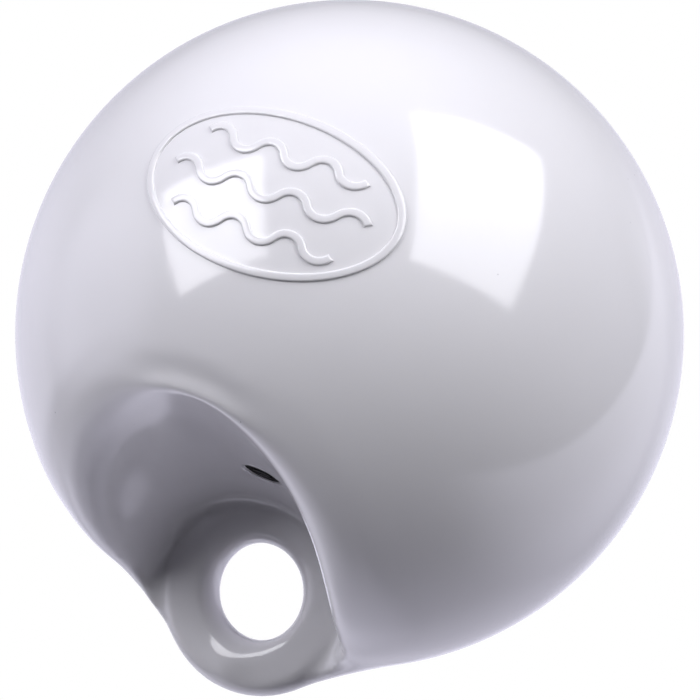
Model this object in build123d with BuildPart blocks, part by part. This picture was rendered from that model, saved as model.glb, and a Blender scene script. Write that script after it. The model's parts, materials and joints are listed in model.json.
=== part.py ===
from build123d import *
from math import cos, radians, sin, sqrt, tan
import os

# Round inflatable mooring buoy: one hollow vinyl moulding with a moulded-in rope eye,
# a scooped pocket on each side of the eye, and an inflation valve in the front pocket.
#
# Frame, in millimetres: the origin is the centre of the rope eye, +Y runs along the
# eye's hole, +Z points from the eye to the crown of the ball, and -Y is the front.

# ball and neck
ball_radius = 114.3  # nine-inch ball
eye_inset = 20.0  # the eye's centre stands this far above the ball's lowest point
wall = 4.5  # vinyl wall
neck_blend_radius = 230.0  # hollow curve from the ball to the eye

# rope eye
eye_hole_radius = 16.8
eye_land = 6.0  # straight part of the throat
ring_tube_radius = 9.9  # section of the ring round the hole
web_thickness = 10.0  # vinyl left between the two pockets

# pockets, sizes at the web
pocket_half_width = 38.8
pocket_roof_height = 33.3  # above the centre of the eye
pocket_draft = 5.7  # degrees that each side wall opens outwards
pocket_roof_slope = 16.9  # degrees that the roof climbs outwards
pocket_turn_in = 25.0  # degrees that the side walls run on round before they go straight
pocket_floor_round = 7.0
pocket_lip_round = 4.0

# inflation valve, set square to the front pocket's roof
valve_forward = 34.3  # from the eye's plane to the valve's centre
valve_recess_radius = 6.85
valve_recess_depth = 2.6
valve_bore_radius = 4.5
valve_lip_width = 1.15  # raised lip round the recess
valve_lip_height = 0.6
valve_head_thickness = 2.5
valve_head_round = 0.4
valve_collar_radius = 5.9  # snaps out behind the boss
valve_collar_length = 3.0
valve_channel_radius = 1.5  # takes a ball needle or the plug's stem
valve_core_radius = 3.0
valve_core_length = 7.0
valve_core_floor = 1.5  # rubber left behind the core
valve_core_slit_radius = 0.4
boss_radius = 11.0
boss_depth = 14.0  # from the pocket's roof to the boss's inner face
head_clearance = 0.10  # round the valve's head in its recess

# push-in plug that closes the valve
plug_head_radius = 3.6
plug_head_thickness = 1.2
plug_seat_depth = 0.9  # dished seat for the plug's head
plug_stem_length = 6.0
plug_slot_width = 0.9
plug_slot_depth = 0.5
plug_stem_clearance = 0.05
plug_head_clearance = 0.20

# raised emblem on the front: an oval line round three waves
emblem_half_width = 44.0
emblem_half_height = 26.0
emblem_centre_height = 37.5  # above the ball's centre
emblem_line = 2.6
emblem_height = 0.9
wave_count = 3
wave_pitch = 12.5  # from one wave to the next
wave_length = 20.0
wave_rise = 2.6
wave_half_spans = (28.0, 34.0, 28.0)

# worked out from the sizes above
ball_centre_height = ball_radius - eye_inset
ring_centre_radius = eye_hole_radius + sqrt(ring_tube_radius**2 - (eye_land / 2) ** 2)
ring_outer_radius = ring_centre_radius + ring_tube_radius
lug_radius = ring_centre_radius + sqrt(ring_tube_radius**2 - (web_thickness / 2) ** 2)
ball_centre = Vector(0, 0, ball_centre_height)
reach = ball_radius + 20.0  # past the ball's surface, for cutting tools
valve_height = pocket_roof_height + (valve_forward - web_thickness / 2) * tan(
    radians(pocket_roof_slope)
)
valve_out = Vector(0, -sin(radians(pocket_roof_slope)), -cos(radians(pocket_roof_slope)))
valve_plane = Plane(origin=(0, -valve_forward, valve_height), x_dir=(1, 0, 0), z_dir=valve_out)
valve_axis = Axis(valve_plane.origin, valve_out)
turning_plane = Plane(origin=(0, 0, 0), x_dir=(1, 1, 0), z_dir=(1, -1, 0))


def neck_points(ball, lug, blend):
    """Points where a hollow arc leaves the ball and meets the lug, in X and Z."""
    apart = ball_centre_height
    from_ball = ball + blend
    from_lug = lug + blend
    drop = (from_ball**2 + apart**2 - from_lug**2) / (2 * apart)
    centre = Vector(sqrt(from_ball**2 - drop**2), apart - drop)
    on_ball = Vector(0, apart) + (centre - Vector(0, apart)) * (ball / from_ball)
    on_lug = centre * (lug / from_lug)
    middle = centre - ((centre - on_ball) + (centre - on_lug)).normalized() * blend
    return on_ball, middle, on_lug


def pocket_arch(distance, extra=0.0):
    """Half width and crown height of a pocket at a distance from the eye's plane."""
    out = distance - web_thickness / 2
    half_width = pocket_half_width + out * tan(radians(pocket_draft)) + extra
    crown = pocket_roof_height + out * tan(radians(pocket_roof_slope)) + extra
    return half_width, crown


def arch_sketch(distance, extra=0.0):
    """Horseshoe opening, open at the bottom, on a plane in front of the eye."""
    half_width, crown = pocket_arch(distance, extra)
    spring = crown - half_width
    turn = radians(pocket_turn_in)
    low = Vector(half_width * cos(turn), spring - half_width * sin(turn))
    bottom = -ring_outer_radius - 30.0
    inset = (low.Y - bottom) * tan(turn)
    with BuildSketch(Plane.XZ.offset(distance)) as arch:
        with BuildLine():
            side = Line((inset - low.X, bottom), (-low.X, low.Y))
            top = ThreePointArc(side @ 1, (0, crown), low)
            far = Line(top @ 1, (low.X - inset, bottom))
            Line(far @ 1, side @ 0)
        make_face()
    return arch.sketch


def profile_point(centre_height, radius, angle):
    """Point on a circle in the profile, at an angle in degrees from straight up."""
    return Vector(radius * sin(radians(angle)), centre_height + radius * cos(radians(angle)))


def ball_and_neck():
    """Ball running down through a hollow neck to the rounded lug, as one turned solid."""
    on_ball, middle, on_lug = neck_points(ball_radius, lug_radius, neck_blend_radius)
    crown = Vector(0, ball_centre_height + ball_radius)
    side = Vector(ball_radius, ball_centre_height)
    lug_middle = (on_lug + Vector(0, -lug_radius)).normalized() * lug_radius
    with BuildPart() as body:
        with BuildSketch(turning_plane):
            with BuildLine():
                ThreePointArc(crown, profile_point(ball_centre_height, ball_radius, 45), side)
                low = Vector(0, ball_centre_height) + (
                    side + on_ball - Vector(0, 2 * ball_centre_height)
                ).normalized() * ball_radius
                ThreePointArc(side, low, on_ball)
                ThreePointArc(on_ball, middle, on_lug)
                ThreePointArc(on_lug, lug_middle, (0, -lug_radius))
                Line((0, -lug_radius), crown)
            make_face()
        revolve(axis=Axis.Z)
    return body.part


def pocket_tool(extra=0.0, start=web_thickness / 2, floor_round=0.0):
    """Solid that a pocket leaves empty, or that its wall fills when extra is the wall."""
    with BuildPart() as tool:
        loft([arch_sketch(start, extra), arch_sketch(reach, extra)], ruled=True)
        if floor_round:
            floor = tool.faces().sort_by(Axis.Y)[-1]
            rim = floor.edges().sort_by(Axis.Z)[1:]
            fillet(rim, floor_round)
    return tool.part


def behind_the_eye(tool):
    """Mirror image of the tool behind the eye's plane."""
    return mirror(tool, about=Plane.XZ, mode=Mode.PRIVATE)


def rope_ring():
    """Round ring about the eye's hole, standing proud of the web on both sides."""
    with BuildPart() as ring:
        with BuildSketch(Plane.XY):
            with Locations((ring_centre_radius, 0)):
                Circle(ring_tube_radius)
        revolve(axis=Axis.Y)
    return ring.part


def emblem_relief():
    """Raised oval line with three waves inside it, following the ball's surface."""
    with BuildPart() as relief:
        with BuildSketch(Plane.XZ.offset(ball_radius / 2)):
            with Locations((0, ball_centre_height + emblem_centre_height)):
                Ellipse(emblem_half_width, emblem_half_height)
                Ellipse(
                    emblem_half_width - emblem_line,
                    emblem_half_height - emblem_line,
                    mode=Mode.SUBTRACT,
                )
            for index, half_span in enumerate(wave_half_spans):
                row = (wave_count - 1) / 2 - index
                height = ball_centre_height + emblem_centre_height + row * wave_pitch
                bends = round(4 * half_span / wave_length)
                step = 2 * half_span / bends
                with BuildLine() as wave:
                    for bend in range(bends):
                        left = bend * step - half_span
                        peak = height + wave_rise * (-1) ** bend
                        ThreePointArc((left, height), (left + step / 2, peak), (left + step, height))
                trace(wave.line, line_width=emblem_line)
        extrude(amount=ball_radius)
        with Locations(ball_centre):
            Sphere(ball_radius + emblem_height, mode=Mode.INTERSECT)
            Sphere(ball_radius - wall / 2, mode=Mode.SUBTRACT)
    return relief.part


def valve_seat():
    """Boss behind the front pocket's roof and the raised lip round the valve."""
    with BuildPart() as seat:
        with BuildSketch(valve_level(boss_depth)):
            Circle(boss_radius)
        extrude(amount=boss_depth - wall / 2)
        with BuildSketch(valve_level(wall / 2)):
            Circle(valve_recess_radius + valve_lip_width)
        extrude(amount=wall / 2 + valve_lip_height)
        lip = seat.faces().sort_by(valve_axis)[-1]
        fillet(lip.edges(), valve_lip_height / 2)
    return seat.part


def valve_opening():
    """Stepped hole through the boss: a shallow recess and the bore behind it."""
    with BuildPart() as hole:
        with BuildSketch(valve_level(valve_recess_depth)):
            Circle(valve_recess_radius)
        extrude(amount=valve_recess_depth + valve_lip_height + 1.0)
        with BuildSketch(valve_level(boss_depth + 1.0)):
            Circle(valve_bore_radius)
        extrude(amount=boss_depth)
    return hole.part


def shell_cavity():
    """Air space inside the ball, one wall thickness behind the ball and the pockets."""
    pocket_and_wall = pocket_tool(extra=wall, start=0.0)
    with BuildPart() as cavity:
        with Locations(ball_centre):
            Sphere(ball_radius - wall)
        add(pocket_and_wall, mode=Mode.SUBTRACT)
        add(behind_the_eye(pocket_and_wall), mode=Mode.SUBTRACT)
    return cavity.part


def moulded_shell():
    """The vinyl moulding: hollow ball, solid web and rope eye, pockets, valve seat."""
    outside = ball_and_neck()
    pocket = pocket_tool(floor_round=pocket_floor_round)
    inside = shell_cavity()
    added = [rope_ring(), valve_seat(), emblem_relief()]
    opening = valve_opening()
    with BuildPart() as moulding:
        add(outside)
        add(pocket, mode=Mode.SUBTRACT)
        add(behind_the_eye(pocket), mode=Mode.SUBTRACT)
        mouths = moulding.edges().filter_by(GeomType.BSPLINE).sort_by(SortBy.LENGTH)[-2:]
        fillet(mouths, pocket_lip_round)
        add(inside, mode=Mode.SUBTRACT)
        with BuildSketch(Plane.XZ):
            Circle(ring_centre_radius)
        extrude(amount=web_thickness, both=True, mode=Mode.SUBTRACT)
        add(added)
        add(opening, mode=Mode.SUBTRACT)
        with BuildSketch(Plane.XZ):
            Circle(eye_hole_radius)
        extrude(amount=2 * ring_tube_radius, both=True, mode=Mode.SUBTRACT)
    return moulding.part


def valve_level(depth):
    """Plane square to the valve at a depth behind the pocket's roof."""
    return valve_plane.offset(-depth)


def rubber_valve_body():
    """Rubber valve: flanged head, barrel pressed in the boss, and a collar behind it."""
    face_depth = valve_recess_depth - valve_head_thickness
    end_depth = boss_depth + valve_collar_length
    core_depth = end_depth - valve_core_floor - valve_core_length
    with BuildPart() as body:
        with BuildSketch(valve_level(valve_recess_depth)):
            Circle(valve_recess_radius - head_clearance)
        extrude(amount=valve_head_thickness)
        rim = body.faces().sort_by(valve_axis)[-1].edges()
        fillet(rim, valve_head_round)
        with BuildSketch(valve_level(boss_depth)):
            Circle(valve_bore_radius)
        extrude(amount=boss_depth - valve_recess_depth)
        with BuildSketch(valve_level(boss_depth)):
            Circle(valve_collar_radius)
        with BuildSketch(valve_level(end_depth)):
            Circle(valve_bore_radius)
        loft()
        with BuildSketch(valve_level(face_depth + plug_seat_depth)):
            Circle(plug_head_radius + plug_head_clearance)
        extrude(amount=plug_seat_depth + 1.0, mode=Mode.SUBTRACT)
        with BuildSketch(valve_level(end_depth + 1.0)):
            Circle(valve_channel_radius)
        extrude(amount=end_depth + 1.0, mode=Mode.SUBTRACT)
        with BuildSketch(valve_level(core_depth + valve_core_length)):
            Circle(valve_core_radius)
        extrude(amount=valve_core_length, mode=Mode.SUBTRACT)
    return body.part


def self_sealing_core():
    """Soft slug inside the valve; its fine slit opens for a needle and shuts behind it."""
    end_depth = boss_depth + valve_collar_length - valve_core_floor
    with BuildPart() as core:
        with BuildSketch(valve_level(end_depth)):
            Circle(valve_core_radius)
            Circle(valve_core_slit_radius, mode=Mode.SUBTRACT)
        extrude(amount=valve_core_length)
    return core.part


def push_in_plug():
    """Plug that closes the valve: a slotted head on a stem with a rounded tip."""
    seat = valve_recess_depth - valve_head_thickness + plug_seat_depth
    with BuildPart() as plug:
        with BuildSketch(valve_level(seat)):
            Circle(plug_head_radius)
        extrude(amount=plug_head_thickness)
        top = plug.faces().sort_by(valve_axis)[-1]
        fillet(top.edges(), plug_head_thickness / 3)
        with BuildSketch(valve_level(seat + plug_stem_length)):
            Circle(valve_channel_radius - plug_stem_clearance)
        extrude(amount=plug_stem_length)
        tip = plug.faces().sort_by(valve_axis)[0]
        fillet(tip.edges(), valve_channel_radius / 2)
        with BuildSketch(valve_level(seat - plug_head_thickness)):
            Rectangle(2 * plug_head_radius, plug_slot_width)
        extrude(amount=-plug_slot_depth, mode=Mode.SUBTRACT)
    return plug.part


os.makedirs("parts", exist_ok=True)

shell = moulded_shell()
shell.label = "shell"
export_step(shell, "parts/shell.step")

valve_body = rubber_valve_body()
valve_body.label = "valve_body"
export_step(valve_body, "parts/valve_body.step")

valve_core = self_sealing_core()
valve_core.label = "valve_core"
export_step(valve_core, "parts/valve_core.step")

valve_plug = push_in_plug()
valve_plug.label = "valve_plug"
export_step(valve_plug, "parts/valve_plug.step")
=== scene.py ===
import json
from math import atan2, cos, degrees, exp, pi, radians, sin, sqrt, tan

import bmesh
import bpy
from mathutils import Matrix, Vector


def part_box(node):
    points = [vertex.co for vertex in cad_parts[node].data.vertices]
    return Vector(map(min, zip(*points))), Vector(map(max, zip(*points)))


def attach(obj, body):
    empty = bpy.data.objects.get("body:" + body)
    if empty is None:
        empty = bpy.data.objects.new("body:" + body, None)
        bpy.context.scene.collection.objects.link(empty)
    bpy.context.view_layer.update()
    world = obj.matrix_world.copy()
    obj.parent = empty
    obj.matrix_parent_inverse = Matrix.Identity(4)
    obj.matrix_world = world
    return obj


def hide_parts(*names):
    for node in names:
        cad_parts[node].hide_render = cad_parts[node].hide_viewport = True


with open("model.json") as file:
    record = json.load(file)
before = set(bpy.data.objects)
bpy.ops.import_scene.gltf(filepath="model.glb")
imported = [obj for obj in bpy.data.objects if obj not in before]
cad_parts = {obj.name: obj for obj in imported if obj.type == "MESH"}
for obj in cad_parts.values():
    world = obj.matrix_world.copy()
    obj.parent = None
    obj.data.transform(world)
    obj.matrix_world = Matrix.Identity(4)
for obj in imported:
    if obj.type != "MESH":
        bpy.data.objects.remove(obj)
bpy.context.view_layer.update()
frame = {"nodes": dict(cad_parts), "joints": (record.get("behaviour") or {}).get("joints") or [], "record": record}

# Inflatable mooring buoy in glossy white vinyl: the ball with its rope eye and two pockets,
# the raised emblem, and the rubber valve with its plug. All sizes are in metres.

mm = 0.001
weldDistance = 0.002 * mm
scene = bpy.context.scene
scene.view_settings.view_transform = "Standard"

# sizes read from the frame
shellLow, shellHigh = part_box("shell")
ballRadius = (shellHigh.x - shellLow.x) / 2
ballCentre = Vector((0, 0, shellHigh.z - ballRadius))
ringOuter = -shellLow.z
eyeMount = frame["record"]["mounts"][0]["dims"]
eyeRadius = eyeMount["r_mm"] * mm
halfLand = eyeMount["length_mm"] * mm / 2
ringReach = ringOuter - eyeRadius
tubeRadius = (ringReach**2 + halfLand**2) / (2 * ringReach)
ringCentre = ringOuter - tubeRadius
valveOut = Vector(frame["joints"][0]["axis"]).normalized()
coreLow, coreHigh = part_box("valve_core")
coreDepth = 12.0 * mm  # from the pocket's roof in to the middle of the core
valvePlace = (coreLow + coreHigh) / 2 + valveOut * coreDepth
print("ball radius %.4f, eye radius %.4f, ring tube %.4f" % (ballRadius, eyeRadius, tubeRadius))


def sRGB(hexText):
    values = []
    for index in (0, 2, 4):
        value = int(hexText[index:index + 2], 16) / 255
        values.append(value / 12.92 if value <= 0.04045 else ((value + 0.055) / 1.055) ** 2.4)
    return (*values, 1.0)


def smoothStep(low, high, value):
    share = min(max((value - low) / (high - low), 0.0), 1.0)
    return share * share * (3 - 2 * share)


def makeObject(name, bm):
    mesh = bpy.data.meshes.new(name)
    bm.to_mesh(mesh)
    bm.free()
    piece = bpy.data.objects.new(name, mesh)
    scene.collection.objects.link(piece)
    return piece


def applyModifiers(piece):
    bpy.context.view_layer.update()
    graph = bpy.context.evaluated_depsgraph_get()
    finished = bpy.data.meshes.new_from_object(piece.evaluated_get(graph))
    piece.modifiers.clear()
    piece.data = finished


def cut(piece, tool, operation):
    modifier = piece.modifiers.new(tool.name, "BOOLEAN")
    modifier.operation = operation
    modifier.solver = "EXACT"
    modifier.object = tool
    applyModifiers(piece)
    bpy.data.objects.remove(tool)


def onlyVerts(geometry):
    return [item for item in geometry if isinstance(item, bmesh.types.BMVert)]


def closeShape(bm):
    bmesh.ops.remove_doubles(bm, verts=bm.verts, dist=weldDistance)
    bmesh.ops.recalc_face_normals(bm, faces=bm.faces)


def spinProfile(bm, axis, steps):
    bmesh.ops.spin(
        bm, geom=bm.verts[:] + bm.edges[:], cent=(0, 0, 0), axis=axis,
        angle=2 * pi, steps=steps, use_merge=True, use_duplicate=False,
    )
    closeShape(bm)


def arcFrom(bm, start, centre, angle, steps):
    made = bmesh.ops.spin(
        bm, geom=[start], cent=centre, axis=(0, 1, 0), angle=angle, steps=steps,
        use_duplicate=False,
    )
    return onlyVerts(made["geom_last"])[0]


moulding = {
    "neckBlend": 230.0 * mm,  # hollow curve from the ball to the eye
    "lugInset": 0.3 * mm,  # the turned lug stays just inside the ring
    "web": 10.0 * mm,  # vinyl between the two pockets
    "pocketHalfWidth": 38.8 * mm,
    "pocketRoof": 33.3 * mm,
    "pocketDraft": 5.7,  # degrees, sides opening towards the mouth
    "roofSlope": 16.9,  # degrees, roof rising towards the mouth
    "turnIn": 25.0,  # degrees, side walls closing in below the arch
    "archSquash": 0.88,  # the roof comes down to the ring
    "rootEnd": 26.0 * mm,  # the arch is round from here to the mouth
    "floorRound": 9.0 * mm,
    "pastBall": 20.0 * mm,  # how far the pocket's tool reaches out of the solid
    "pastLug": 30.0 * mm,
    "voxel": 1.45 * mm,
    "sharpAngle": 40,
    "ballSteps": 100,
    "neckSteps": 40,
    "turnSteps": 180,
    "archSteps": 80,
    "floorSteps": 7,
    "tubeSteps": 48,
    "ringSteps": 144,
    "barSteps": 128,
}
lugRadius = ringOuter - moulding["lugInset"]

# the skin draws in round each mouth as it cools
sinking = {
    "depth": 1.2 * mm,
    "place": 5.0 * mm,  # outside the edge of the mouth
    "spread": 3.6 * mm,
    "reach": 30.0 * mm,
    "offWeb": 15.0 * mm,
    "skin": 12.0 * mm,  # faded out at this depth
    "foot": (-10.0 * mm, 12.0 * mm),  # faded in from the lug up
}

# a hot mould leaves every edge soft; pairs are where each effect starts and ends
softening = {
    "sidePasses": 500,
    "sideReach": (12.0 * mm, 30.0 * mm),
    "sideOffWeb": 8.0 * mm,
    "sideAngles": (12, 65),  # degrees round from the top of the arch
    "mouthPasses": 10,
    "mouthReach": (6.0 * mm, 16.0 * mm),
    "mouthOffWeb": 12.0 * mm,
    "lugPasses": 40,
    "lugReach": (45.0 * mm, 62.0 * mm),
    "crestWidth": 1.5 * mm,
    "crestKept": 0.8,  # the ring keeps most of its shape
    "allPasses": 3,
    "leastWeight": 0.01,
}

# away from the pockets the skin is put back on the exact ball
trueBall = {
    "levels": (-0.7, -0.48),  # heights from the ball's centre, in radii
    "offPocket": (14.0 * mm, 26.0 * mm),
    "offBall": (0.6 * mm, 2.6 * mm),
}


def turnedBody():
    apart = ballCentre.z
    fromBall = ballRadius + moulding["neckBlend"]
    fromLug = lugRadius + moulding["neckBlend"]
    drop = (fromBall**2 + apart**2 - fromLug**2) / (2 * apart)
    blendCentre = Vector((sqrt(fromBall**2 - drop**2), 0, apart - drop))
    toBlend = blendCentre - ballCentre
    ballAngle = atan2(toBlend.x, toBlend.z)
    lugAngle = atan2(blendCentre.x, blendCentre.z)
    bm = bmesh.new()
    crown = bm.verts.new((0, 0, ballCentre.z + ballRadius))
    ballEnd = arcFrom(bm, crown, ballCentre, ballAngle, moulding["ballSteps"])
    neckEnd = arcFrom(bm, ballEnd, blendCentre, lugAngle - ballAngle, moulding["neckSteps"])
    arcFrom(bm, neckEnd, (0, 0, 0), pi - lugAngle, moulding["neckSteps"])
    spinProfile(bm, (0, 0, 1), moulding["turnSteps"])
    return makeObject("turnedBody", bm)


def archSizes(distance):
    out = distance - moulding["web"] / 2
    halfWidth = moulding["pocketHalfWidth"] + out * tan(radians(moulding["pocketDraft"]))
    crown = moulding["pocketRoof"] + out * tan(radians(moulding["roofSlope"]))
    return halfWidth, crown - halfWidth


def pocketTools():
    near = moulding["web"] / 2
    far = ballRadius + moulding["pastBall"]
    squash = moulding["archSquash"]
    halfWidth, spring = archSizes(near)
    turn = radians(moulding["turnIn"])
    side = halfWidth * cos(turn)
    foot = spring - halfWidth * sin(turn)
    drop = ringOuter + moulding["pastLug"] + foot
    bm = bmesh.new()
    first = bm.verts.new((-side, -near, foot))
    last = arcFrom(bm, first, (0, -near, spring), pi + 2 * turn, moulding["archSteps"])
    outline = bm.edges[:]
    walls = bmesh.ops.extrude_vert_indiv(bm, verts=[first, last])
    outline += walls["edges"]
    for vertex in walls["verts"]:
        vertex.co.z -= drop
        vertex.co.x *= 1 - drop * tan(turn) / side
    floor = bmesh.ops.contextual_create(bm, geom=bm.verts[:])["faces"][0]
    bmesh.ops.scale(
        bm, verts=bm.verts, vec=(1, 1, squash), space=Matrix.Translation((0, 0, -spring))
    )
    front = floor
    sections = [(near, squash), (moulding["rootEnd"], 1), (far, 1)]
    for (start, startSquash), (end, endSquash) in zip(sections, sections[1:]):
        startWidth, startSpring = archSizes(start)
        endWidth, endSpring = archSizes(end)
        grown = bmesh.ops.extrude_face_region(bm, geom=[front], use_keep_orig=True)["geom"]
        if front is not floor:
            bmesh.ops.delete(bm, geom=[front], context="FACES_ONLY")  # no wall inside
        front = [item for item in grown if isinstance(item, bmesh.types.BMFace)][0]
        moved = onlyVerts(grown)
        wider = endWidth / startWidth
        bmesh.ops.scale(
            bm, verts=moved, vec=(wider, 1, wider * endSquash / startSquash),
            space=Matrix.Translation((0, 0, -startSpring)),
        )
        bmesh.ops.translate(bm, verts=moved, vec=(0, start - end, endSpring - startSpring))
    bmesh.ops.recalc_face_normals(bm, faces=bm.faces)
    bmesh.ops.bevel(
        bm, geom=outline, offset=moulding["floorRound"], segments=moulding["floorSteps"],
        profile=0.5, affect="EDGES", material=-1, clamp_overlap=False,
    )
    copy = bmesh.ops.duplicate(bm, geom=bm.verts[:] + bm.edges[:] + bm.faces[:])["geom"]
    bmesh.ops.scale(bm, verts=onlyVerts(copy), vec=(1, -1, 1))
    closeShape(bm)
    return makeObject("pocketTools", bm)


def roundBar(name, radius, length):
    bm = bmesh.new()
    bmesh.ops.create_cone(
        bm, cap_ends=True, radius1=radius, radius2=radius, depth=length,
        segments=moulding["barSteps"], matrix=Matrix.Rotation(pi / 2, 4, "X"),
    )
    return makeObject(name, bm)


def ropeRing():
    bm = bmesh.new()
    bmesh.ops.create_circle(
        bm, radius=tubeRadius, segments=moulding["tubeSteps"],
        matrix=Matrix.Translation((ringCentre, 0, 0)),
    )
    spinProfile(bm, (0, 1, 0), moulding["ringSteps"])
    return makeObject("ropeRing", bm)


def outsidePocket(point):
    halfWidth, spring = archSizes(max(abs(point.y), moulding["web"] / 2))
    turn = radians(moulding["turnIn"])
    across, up = abs(point.x), point.z - spring
    if up > -across * tan(turn):
        return sqrt(across**2 + up**2) - halfWidth
    return across * cos(turn) - up * sin(turn) - halfWidth


def fromMouth(point):
    depth = (point - ballCentre).length - ballRadius
    return sqrt(outsidePocket(point) ** 2 + depth**2)


def sinkMouths(piece):
    for vertex in piece.data.vertices:
        outside = outsidePocket(vertex.co)
        if abs(vertex.co.y) < sinking["offWeb"] or outside > sinking["reach"]:
            continue
        fromCentre = vertex.co - ballCentre
        radius = fromCentre.length
        groove = exp(-((outside - sinking["place"]) / sinking["spread"]) ** 2)
        groove *= 1 - smoothStep(0, sinking["skin"], ballRadius - radius)
        groove *= smoothStep(*sinking["foot"], vertex.co.z)
        vertex.co -= fromCentre * (sinking["depth"] * groove / radius)


def smoothBy(piece, share, iterations):
    group = piece.vertex_groups.new(name="soften")
    for vertex in piece.data.vertices:
        weight = share(vertex.co)
        if weight > softening["leastWeight"]:
            group.add([vertex.index], weight, "REPLACE")
    modifier = piece.modifiers.new("soften", "SMOOTH")
    modifier.factor = 0.5
    modifier.iterations = iterations
    modifier.vertex_group = "soften"
    applyModifiers(piece)
    piece.vertex_groups.clear()


def mouthShare(point):
    if abs(point.y) < softening["mouthOffWeb"]:
        return 0.0
    return 1 - smoothStep(*softening["mouthReach"], fromMouth(point))


def sideShare(point):
    if abs(point.y) < softening["sideOffWeb"]:
        return 0.0
    halfWidth, spring = archSizes(abs(point.y))
    angle = degrees(atan2(abs(point.x), point.z - spring))
    near = 1 - smoothStep(*softening["sideReach"], fromMouth(point))
    return near * smoothStep(*softening["sideAngles"], angle)


def lugShare(point):
    near = 1 - smoothStep(*softening["lugReach"], point.length)
    fromTube = sqrt((sqrt(point.x**2 + point.z**2) - ringCentre) ** 2 + point.y**2)
    crest = 1 - smoothStep(tubeRadius, tubeRadius + softening["crestWidth"], fromTube)
    return near * (1 - softening["crestKept"] * crest)


def onBall(point):
    fromCentre = point - ballCentre
    above = smoothStep(*trueBall["levels"], fromCentre.z / ballRadius)
    clear = smoothStep(*trueBall["offPocket"], outsidePocket(point))
    off = smoothStep(*trueBall["offBall"], abs(fromCentre.length - ballRadius))
    return above * clear * (1 - off)


def roundBall(piece):
    for vertex in piece.data.vertices:
        share = onBall(vertex.co)
        if share > 0:
            fromCentre = vertex.co - ballCentre
            onSphere = ballCentre + fromCentre.normalized() * ballRadius
            vertex.co = vertex.co.lerp(onSphere, share)


def sharpen(piece, angle):
    bm = bmesh.new()
    bm.from_mesh(piece.data)
    for edge in bm.edges:
        if len(edge.link_faces) == 2 and edge.calc_face_angle() > radians(angle):
            edge.smooth = False
    bm.to_mesh(piece.data)
    bm.free()


def ballNormals(piece):
    piece.data.shade_smooth()
    sharpen(piece, moulding["sharpAngle"])
    normals = []
    for vertex in piece.data.vertices:
        share = onBall(vertex.co)
        normal = Vector((0, 0, 0))  # zero leaves the mesh's own normal
        if share > 0:
            out = (vertex.co - ballCentre).normalized()
            normal = vertex.normal.lerp(out, share).normalized()
        normals.append(tuple(normal))
    piece.data.normals_split_custom_set_from_vertices(normals)


# the valve's seat in the roof of the front pocket
valveSeat = {
    "recess": 6.85 * mm,
    "recessDepth": 2.6 * mm,
    "lipWidth": 1.15 * mm,
    "lipHeight": 0.2 * mm,
    "flare": 3.0 * mm,  # the lip runs out into the roof
    "flareDrop": 0.6 * mm,
    "kneeOut": 1.0 * mm,  # where the lip's slope turns down into the flare
    "kneeHeight": 0.05 * mm,
    "rootDepth": 1.0 * mm,  # solid left under the recess
    "overlap": 0.02 * mm,
    "cutAbove": 6.0 * mm,
    "steps": 72,
    "edgeSteps": 5,
}
valveTurn = Vector((0, 0, 1)).rotation_difference(valveOut).to_matrix().to_4x4()
valveMatrix = Matrix.Translation(valvePlace) @ valveTurn


def seatLip():
    inner = valveSeat["recess"]
    outer = inner + valveSeat["lipWidth"]
    skirt = outer + valveSeat["flare"]
    top = valveSeat["lipHeight"]
    bottom = -valveSeat["recessDepth"] - valveSeat["rootDepth"]
    roundness = valveSeat["lipWidth"] / 4
    profile = [
        (inner - valveSeat["overlap"], bottom),
        (skirt, bottom),
        (skirt, -valveSeat["flareDrop"]),
        (outer + valveSeat["kneeOut"], valveSeat["kneeHeight"]),
        (outer, top - roundness),
    ]
    bm = bmesh.new()
    verts = [bm.verts.new((radius, 0, height)) for radius, height in profile]
    roundCentre = (outer - roundness, 0, top - roundness)
    crest = arcFrom(bm, verts[-1], roundCentre, -pi / 2, valveSeat["edgeSteps"])
    brink = bm.verts.new((inner, 0, top))
    for pair in [*zip(verts, verts[1:]), (crest, brink), (brink, verts[0])]:
        bm.edges.new(pair)
    spinProfile(bm, (0, 0, 1), valveSeat["steps"])
    bmesh.ops.transform(bm, matrix=valveMatrix, verts=bm.verts)
    return makeObject("seatLip", bm)


def seatRecess():
    radius, depth = valveSeat["recess"], valveSeat["recessDepth"]
    height = depth + valveSeat["cutAbove"]
    bm = bmesh.new()
    bmesh.ops.create_cone(
        bm, cap_ends=True, radius1=radius, radius2=radius, depth=height,
        segments=valveSeat["steps"], matrix=Matrix.Translation((0, 0, height / 2 - depth)),
    )
    bmesh.ops.transform(bm, matrix=valveMatrix, verts=bm.verts)
    return makeObject("seatRecess", bm)


def vinylMoulding():
    piece = turnedBody()
    cut(piece, pocketTools(), "DIFFERENCE")
    cut(piece, roundBar("webOpening", ringCentre, 2 * moulding["web"]), "DIFFERENCE")
    cut(piece, ropeRing(), "UNION")
    cut(piece, roundBar("eyeHole", eyeRadius, 4 * tubeRadius), "DIFFERENCE")
    print("moulding cut: %d faces" % len(piece.data.polygons))
    modifier = piece.modifiers.new("evenSkin", "REMESH")
    modifier.mode = "VOXEL"
    modifier.voxel_size = moulding["voxel"]
    applyModifiers(piece)
    sinkMouths(piece)
    smoothBy(piece, sideShare, softening["sidePasses"])
    smoothBy(piece, mouthShare, softening["mouthPasses"])
    smoothBy(piece, lugShare, softening["lugPasses"])
    smoothBy(piece, lambda point: 1.0, softening["allPasses"])
    roundBall(piece)
    print("moulding skin: %d faces" % len(piece.data.polygons))
    cut(piece, seatLip(), "UNION")
    cut(piece, seatRecess(), "DIFFERENCE")
    piece.name = "vinylMoulding"
    return piece


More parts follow.
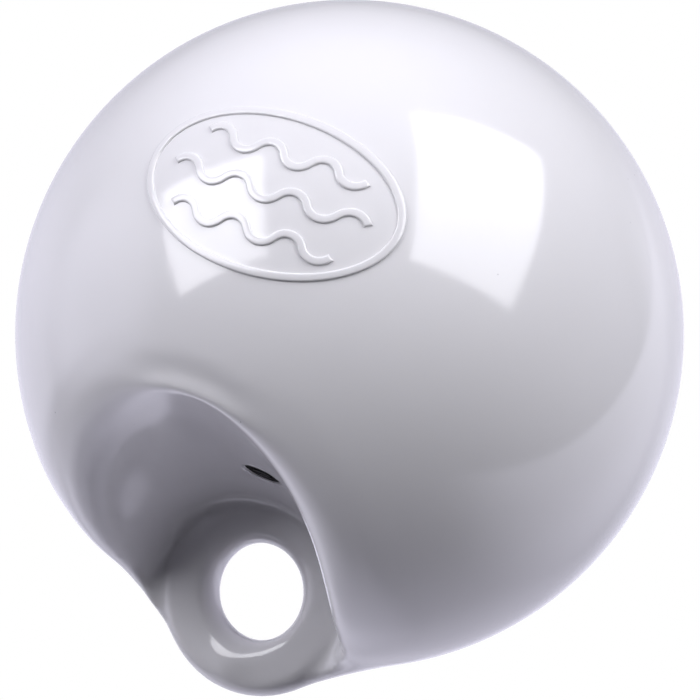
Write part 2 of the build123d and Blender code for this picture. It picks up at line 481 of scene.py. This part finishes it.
# raised emblem: an oval line round three waves
emblem = {
    "halfWidth": 44.0 * mm,
    "halfHeight": 26.0 * mm,
    "aboveCentre": 37.5 * mm,
    "line": 2.6 * mm,
    "height": 0.75 * mm,
    "sunk": 0.8 * mm,  # depth below the skin, so no gap shows
    "edgeRound": 0.6 * mm,
    "waveHalfSpans": (28.0 * mm, 34.0 * mm, 28.0 * mm),
    "wavePitch": 12.5 * mm,
    "waveLength": 20.0 * mm,
    "waveRise": 2.6 * mm,
    "weld": 0.01 * mm,
    "rimAngle": 1.0,  # radians, sharper edges than this are rounded
    "sharpAngle": 50,
    "ovalSteps": 160,
    "waveSteps": 10,
    "edgeSteps": 4,
}


def ovalOutline(bm):
    for inset in (0, emblem["line"]):
        size = (emblem["halfWidth"] - inset, emblem["halfHeight"] - inset, 1)
        made = bmesh.ops.create_circle(bm, radius=1, segments=emblem["ovalSteps"])["verts"]
        bmesh.ops.scale(bm, verts=made, vec=size)
    bmesh.ops.bridge_loops(bm, edges=bm.edges[:])


def waveStrip(bm, row, halfSpan):
    bends = round(4 * halfSpan / emblem["waveLength"])
    step = 2 * halfSpan / bends
    rise = emblem["waveRise"]
    bendRadius = (step**2 / 4 + rise**2) / (2 * rise)
    slope = atan2(step / 2, bendRadius - rise)
    height = row * emblem["wavePitch"]
    across = Vector((-sin(slope), cos(slope), 0)) * (emblem["line"] / 2)
    start = Vector((-halfSpan, height, 0))
    ends = [bm.verts.new(start + across), bm.verts.new(start - across)]
    front = [*ends, bm.edges.new(ends)]
    for bend in range(bends):
        way = (-1) ** bend
        middle = (-halfSpan + (bend + 0.5) * step, height - way * (bendRadius - rise), 0)
        front = bmesh.ops.spin(
            bm, geom=front, cent=middle, axis=(0, 0, 1), angle=-way * 2 * slope,
            steps=emblem["waveSteps"], use_duplicate=False,
        )["geom_last"]


def wrapOnBall(bm):
    for vertex in bm.verts:
        across, up, height = vertex.co
        level = up + emblem["aboveCentre"]
        forward = -sqrt(ballRadius**2 - across**2 - level**2)
        out = Vector((across, forward, level)).normalized()
        vertex.co = ballCentre + out * (ballRadius + height - emblem["sunk"])


def reliefEmblem():
    bm = bmesh.new()
    ovalOutline(bm)
    count = len(emblem["waveHalfSpans"])
    for index, halfSpan in enumerate(emblem["waveHalfSpans"]):
        waveStrip(bm, (count - 1) / 2 - index, halfSpan)
    bmesh.ops.remove_doubles(bm, verts=bm.verts, dist=emblem["weld"])
    thickness = emblem["height"] + emblem["sunk"]
    raised = bmesh.ops.extrude_face_region(bm, geom=bm.faces[:], use_keep_orig=True)["geom"]
    bmesh.ops.translate(bm, verts=onlyVerts(raised), vec=(0, 0, thickness))
    bmesh.ops.recalc_face_normals(bm, faces=bm.faces)
    rim = [
        edge for edge in bm.edges
        if all(vertex.co.z > thickness - emblem["weld"] for vertex in edge.verts)
        and edge.calc_face_angle() > emblem["rimAngle"]
    ]
    bmesh.ops.bevel(
        bm, geom=rim, offset=emblem["edgeRound"], segments=emblem["edgeSteps"],
        profile=0.5, affect="EDGES", material=-1,
    )
    wrapOnBall(bm)
    bmesh.ops.recalc_face_normals(bm, faces=bm.faces)
    piece = makeObject("reliefEmblem", bm)
    piece.data.shade_smooth()
    sharpen(piece, emblem["sharpAngle"])
    return piece


def addNode(tree, kind, settings=None, links=None):
    node = tree.nodes.new(kind)
    for name, value in (settings or {}).items():
        if isinstance(name, int) or name in node.inputs:
            node.inputs[name].default_value = value
        else:
            setattr(node, name, value)
    for name, source in (links or {}).items():
        tree.links.new(source, node.inputs[name])
    return node


def calculate(tree, operation, first, second):
    node = addNode(tree, "ShaderNodeMath", {"operation": operation})
    for index, value in enumerate((first, second)):
        if isinstance(value, float):
            node.inputs[index].default_value = value
        else:
            tree.links.new(value, node.inputs[index])
    return node.outputs[0]


def mapRange(tree, value, source, target, kind="LINEAR"):
    return addNode(tree, "ShaderNodeMapRange", {
        "interpolation_type": kind,
        "From Min": source[0], "From Max": source[1],
        "To Min": target[0], "To Max": target[1],
    }, {"Value": value}).outputs[0]


def noise(tree, place, size, detail):
    settings = {"Scale": 1 / size, "Detail": detail}
    return addNode(tree, "ShaderNodeTexNoise", settings, {"Vector": place}).outputs["Fac"]


def bump(tree, height, depth, strength):
    settings = {"Distance": depth, "Strength": strength}
    return addNode(tree, "ShaderNodeBump", settings, {"Height": height})


def newMaterial(name, shaderSettings):
    material = bpy.data.materials.new(name)
    material.use_nodes = True
    tree = material.node_tree
    shader = tree.nodes["Principled BSDF"]
    for setting, value in shaderSettings.items():
        shader.inputs[setting].default_value = value
    return material, tree, shader


vinylLook = {
    "whites": (sRGB("edecee"), sRGB("e9e8ea")),
    "cloudSize": 45.0 * mm,
    "dust": sRGB("b9b7bb"),
    "dustPitch": 9.0 * mm,
    "dustEdge": (0.02, 0.035),
    "dustLeftOut": 0.8,
    "roughness": (0.09, 0.14),
    "rubSize": 14.0 * mm,
    "rubRange": (0.3, 0.7),
    "swellSize": 22.0 * mm,
    "swellDepth": 0.12 * mm,
    "peelSize": 1.6 * mm,
    "peelDepth": 0.004 * mm,
    "bumpStrength": 0.6,
}


def vinylMaterial():
    # soft PVC cast in a hot turning mould: a glossy, slightly deep white with a gentle
    # orange peel, so that lamps show as clean shapes with a faintly uneven edge
    material, tree, shader = newMaterial("rotocastVinyl", {
        "IOR": 1.53,
        "Specular IOR Level": 0.65,
        "Subsurface Weight": 0.1,
        "Subsurface Radius": (1.0, 0.95, 0.9),
        "Subsurface Scale": 0.4 * mm,
    })
    place = addNode(tree, "ShaderNodeTexCoord").outputs["Object"]
    cloud = noise(tree, place, vinylLook["cloudSize"], 3.0)
    tint = addNode(tree, "ShaderNodeMix", {"data_type": "RGBA"}, {0: cloud})
    tint.inputs[6].default_value, tint.inputs[7].default_value = vinylLook["whites"]
    dust = addNode(
        tree, "ShaderNodeTexVoronoi", {"Scale": 1 / vinylLook["dustPitch"], "Randomness": 1.0},
        {"Vector": place},
    )
    speck = mapRange(tree, dust.outputs["Distance"], vinylLook["dustEdge"], (1.0, 0.0))
    pick = addNode(tree, "ShaderNodeSeparateColor", {}, {"Color": dust.outputs["Color"]})
    rare = calculate(tree, "GREATER_THAN", pick.outputs[0], vinylLook["dustLeftOut"])
    mask = calculate(tree, "MULTIPLY", speck, rare)
    dusty = addNode(
        tree, "ShaderNodeMix", {"data_type": "RGBA"}, {0: mask, 6: tint.outputs[2]}
    )
    dusty.inputs[7].default_value = vinylLook["dust"]
    tree.links.new(dusty.outputs[2], shader.inputs["Base Color"])
    rub = noise(tree, place, vinylLook["rubSize"], 4.0)
    gloss = mapRange(tree, rub, vinylLook["rubRange"], vinylLook["roughness"])
    tree.links.new(gloss, shader.inputs["Roughness"])
    swell = noise(tree, place, vinylLook["swellSize"], 1.0)
    peel = noise(tree, place, vinylLook["peelSize"], 1.0)
    slow = bump(tree, swell, vinylLook["swellDepth"], vinylLook["bumpStrength"])
    fine = bump(tree, peel, vinylLook["peelDepth"], vinylLook["bumpStrength"])
    tree.links.new(slow.outputs["Normal"], fine.inputs["Normal"])
    tree.links.new(fine.outputs["Normal"], shader.inputs["Normal"])
    return material


valveLooks = {
    "grainSize": 0.5 * mm,
    "grainDepth": 0.02 * mm,
    "grainStrength": 0.5,
    "roughnessSpread": 0.08,
    "pieces": {
        # near-black, so that the valve reads as a dark hole in the white
        "valve_body": ("mouldedNitrileRubber", "040404", 0.65),
        # warm dark brown, seen only down the channel
        "valve_core": ("softLatexRubber", "3a2b20", 0.6),
        # black too, with a slightly brighter sheen than the rubber round it
        "valve_plug": ("mouldedNylon", "101012", 0.38),
    },
}


def grainyMaterial(name, colour, roughness):
    # a moulded skin with a dull sheen broken by a fine powdery grain
    material, tree, shader = newMaterial(name, {
        "IOR": 1.52,
        "Specular IOR Level": 0.05,
        "Base Color": sRGB(colour),
    })
    place = addNode(tree, "ShaderNodeTexCoord").outputs["Object"]
    grain = noise(tree, place, valveLooks["grainSize"], 3.0)
    spread = valveLooks["roughnessSpread"]
    dull = mapRange(tree, grain, (0.0, 1.0), (roughness - spread, roughness + spread))
    tree.links.new(dull, shader.inputs["Roughness"])
    powder = bump(tree, grain, valveLooks["grainDepth"], valveLooks["grainStrength"])
    tree.links.new(powder.outputs["Normal"], shader.inputs["Normal"])
    return material


def setMaterial(piece, material):
    piece.data.materials.clear()
    piece.data.materials.append(material)


vinyl = vinylMaterial()
shellPiece = vinylMoulding()
ballNormals(shellPiece)
setMaterial(shellPiece, vinyl)
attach(shellPiece, "buoy")
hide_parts("shell")
print("vinyl moulding ready: %d faces" % len(shellPiece.data.polygons))

emblemPiece = reliefEmblem()
setMaterial(emblemPiece, vinyl)
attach(emblemPiece, "buoy")
print("emblem ready: %d faces" % len(emblemPiece.data.polygons))

for node, look in valveLooks["pieces"].items():
    setMaterial(frame["nodes"][node], grainyMaterial(*look))
print("valve ready: %d pieces" % len(valveLooks["pieces"]))

camera = {
    "right": Vector((0.877, 0.355, 0.324)),
    "towards": Vector((0.36, -0.932, 0.045)),  # from the ball to the camera
    "distance": 8 * ballRadius,
    "lens": 136.5,
    "sensor": 36,
    "shift": (0.0007, -0.0229),
    "clipStart": 0.01,
}


def squareAxes(right, towards):
    towards = towards.normalized()
    right = (right - towards * right.dot(towards)).normalized()
    return Matrix((right, towards.cross(right), towards)).transposed()


def makeCamera():
    data = bpy.data.cameras.new("camera")
    data.lens = camera["lens"]
    data.sensor_width = camera["sensor"]
    data.shift_x, data.shift_y = camera["shift"]
    data.clip_start = camera["clipStart"]
    viewer = bpy.data.objects.new("camera", data)
    scene.collection.objects.link(viewer)
    turn = squareAxes(camera["right"], camera["towards"])
    place = ballCentre + turn.col[2] * camera["distance"]
    viewer.matrix_world = Matrix.Translation(place) @ turn.to_4x4()
    scene.camera = viewer


def inView(across, up, towards):
    turn = squareAxes(camera["right"], camera["towards"])
    return (turn @ Vector((across, up, towards))).normalized()


# a fade is a direction, then the cosines to it where the light starts and is full
studio = {
    "base": 0.035,
    "glows": [  # a fade and its strength
        (inView(-0.15, 0.97, 0.15), 0.60, 0.98, 0.43),
        (inView(-0.1, 0.9, -0.3), 0.2, 0.9, 0.12),
        (inView(-1.0, 0.12, -0.10), 0.85, 0.98, 0.95),
        (inView(-0.9, 0.3, -0.3), 0.6, 0.95, 0.22),
        (inView(-0.40, -0.84, -0.36), 0.80, 0.97, 0.85),
        (inView(0.0, -0.7, -0.7), 0.5, 0.97, 0.66),
    ],
    "backdrop": 0.70,
    "backdropFades": [(inView(0, 0, -1), 0.42, 0.62), (inView(0, -1, 0), -0.5, -0.1)],
    "lowPart": (inView(0, 1, 0), -0.45, -0.1),
    "lowStrength": 0.3,  # the backdrop's low part gives this share
    "sweep": 1.15,
    "sweepFades": [(inView(-0.337, -0.713, -0.617), 0.0, 0.03), (inView(1, 0, 0), 0.4, 0.8)],
    "tint": sRGB("f0eeff"),
    "lampTint": sRGB("fafaff")[:3],
    "paper": (1, 1, 1, 1),
    "floorHalfSize": 6.0,
    "floorDrop": 0.35,  # below the lug
}
softboxes = {
    "leftSoftbox": {
        "place": Vector((-0.861, -1.145, 0.591)),
        "along": Vector((0.353, -0.709, -0.611)),
        "size": (0.95, 0.86),
        "radiance": 5.0,
    },
    "rightSoftbox": {
        "place": Vector((0.769, -0.389, 1.324)),
        "along": Vector((0.664, 0.719, -0.207)),
        "size": (1.05, 1.56),
        "radiance": 4.4,
    },
}


def makeSoftbox(name, place, along, size, radiance):
    data = bpy.data.lights.new(name, "AREA")
    data.shape = "RECTANGLE"
    data.size, data.size_y = size
    data.energy = radiance * size[0] * size[1] * pi
    data.color = studio["lampTint"]
    box = bpy.data.objects.new(name, data)
    scene.collection.objects.link(box)
    box.visible_camera = False
    turn = squareAxes(along, place - ballCentre)
    box.matrix_world = Matrix.Translation(place) @ turn.to_4x4()


def band(tree, direction, axis, low, high):
    settings = {"operation": "DOT_PRODUCT", 1: axis}
    along = addNode(tree, "ShaderNodeVectorMath", settings, {0: direction})
    return mapRange(tree, along.outputs["Value"], (low, high), (0.0, 1.0), "SMOOTHSTEP")


def multiplyFades(tree, direction, fades):
    shares = [band(tree, direction, *fade) for fade in fades]
    return calculate(tree, "MULTIPLY", *shares)


def makeWorld():
    world = bpy.data.worlds.new("studio")
    scene.world = world
    world.use_nodes = True
    tree = world.node_tree
    direction = addNode(tree, "ShaderNodeTexCoord").outputs["Generated"]
    behind = multiplyFades(tree, direction, studio["backdropFades"])
    dimming = band(tree, direction, *studio["lowPart"])
    dimming = calculate(tree, "MULTIPLY", dimming, 1 - studio["lowStrength"])
    dimming = calculate(tree, "ADD", dimming, studio["lowStrength"])
    behind = calculate(tree, "MULTIPLY", behind, dimming)
    behind = calculate(tree, "MULTIPLY", behind, studio["backdrop"])
    sweep = multiplyFades(tree, direction, studio["sweepFades"])
    sweep = calculate(tree, "MULTIPLY", sweep, studio["sweep"])
    total = calculate(tree, "MAXIMUM", behind, sweep)
    total = calculate(tree, "ADD", total, studio["base"])
    for *fade, strength in studio["glows"]:
        glow = calculate(tree, "MULTIPLY", band(tree, direction, *fade), strength)
        total = calculate(tree, "ADD", total, glow)
    lighting = tree.nodes["Background"]
    lighting.inputs["Color"].default_value = studio["tint"]
    tree.links.new(total, lighting.inputs["Strength"])
    paper = addNode(tree, "ShaderNodeBackground", {"Color": studio["paper"], "Strength": 1.0})
    seen = addNode(tree, "ShaderNodeMixShader", {}, {
        0: addNode(tree, "ShaderNodeLightPath").outputs["Is Camera Ray"],
        1: lighting.outputs[0],
        2: paper.outputs[0],
    })
    tree.links.new(seen.outputs[0], tree.nodes["World Output"].inputs["Surface"])


def makeFloor():
    bm = bmesh.new()
    bmesh.ops.create_grid(bm, x_segments=1, y_segments=1, size=studio["floorHalfSize"])
    bmesh.ops.translate(bm, verts=bm.verts, vec=(0, 0, -ringOuter - studio["floorDrop"]))
    floor = makeObject("floor", bm)
    # matt white paper lit evenly: plain white with no edge or shadow
    material = bpy.data.materials.new("whitePaperFloor")
    material.use_nodes = True
    tree = material.node_tree
    tree.nodes.clear()
    glow = addNode(tree, "ShaderNodeEmission", {"Color": studio["paper"], "Strength": 1.0})
    out = addNode(tree, "ShaderNodeOutputMaterial")
    tree.links.new(glow.outputs[0], out.inputs["Surface"])
    setMaterial(floor, material)
    floor.visible_glossy = False
    floor.visible_diffuse = False
    floor.visible_shadow = False


makeCamera()
makeFloor()
makeWorld()
for name, box in softboxes.items():
    makeSoftbox(name, **box)
print("studio ready")
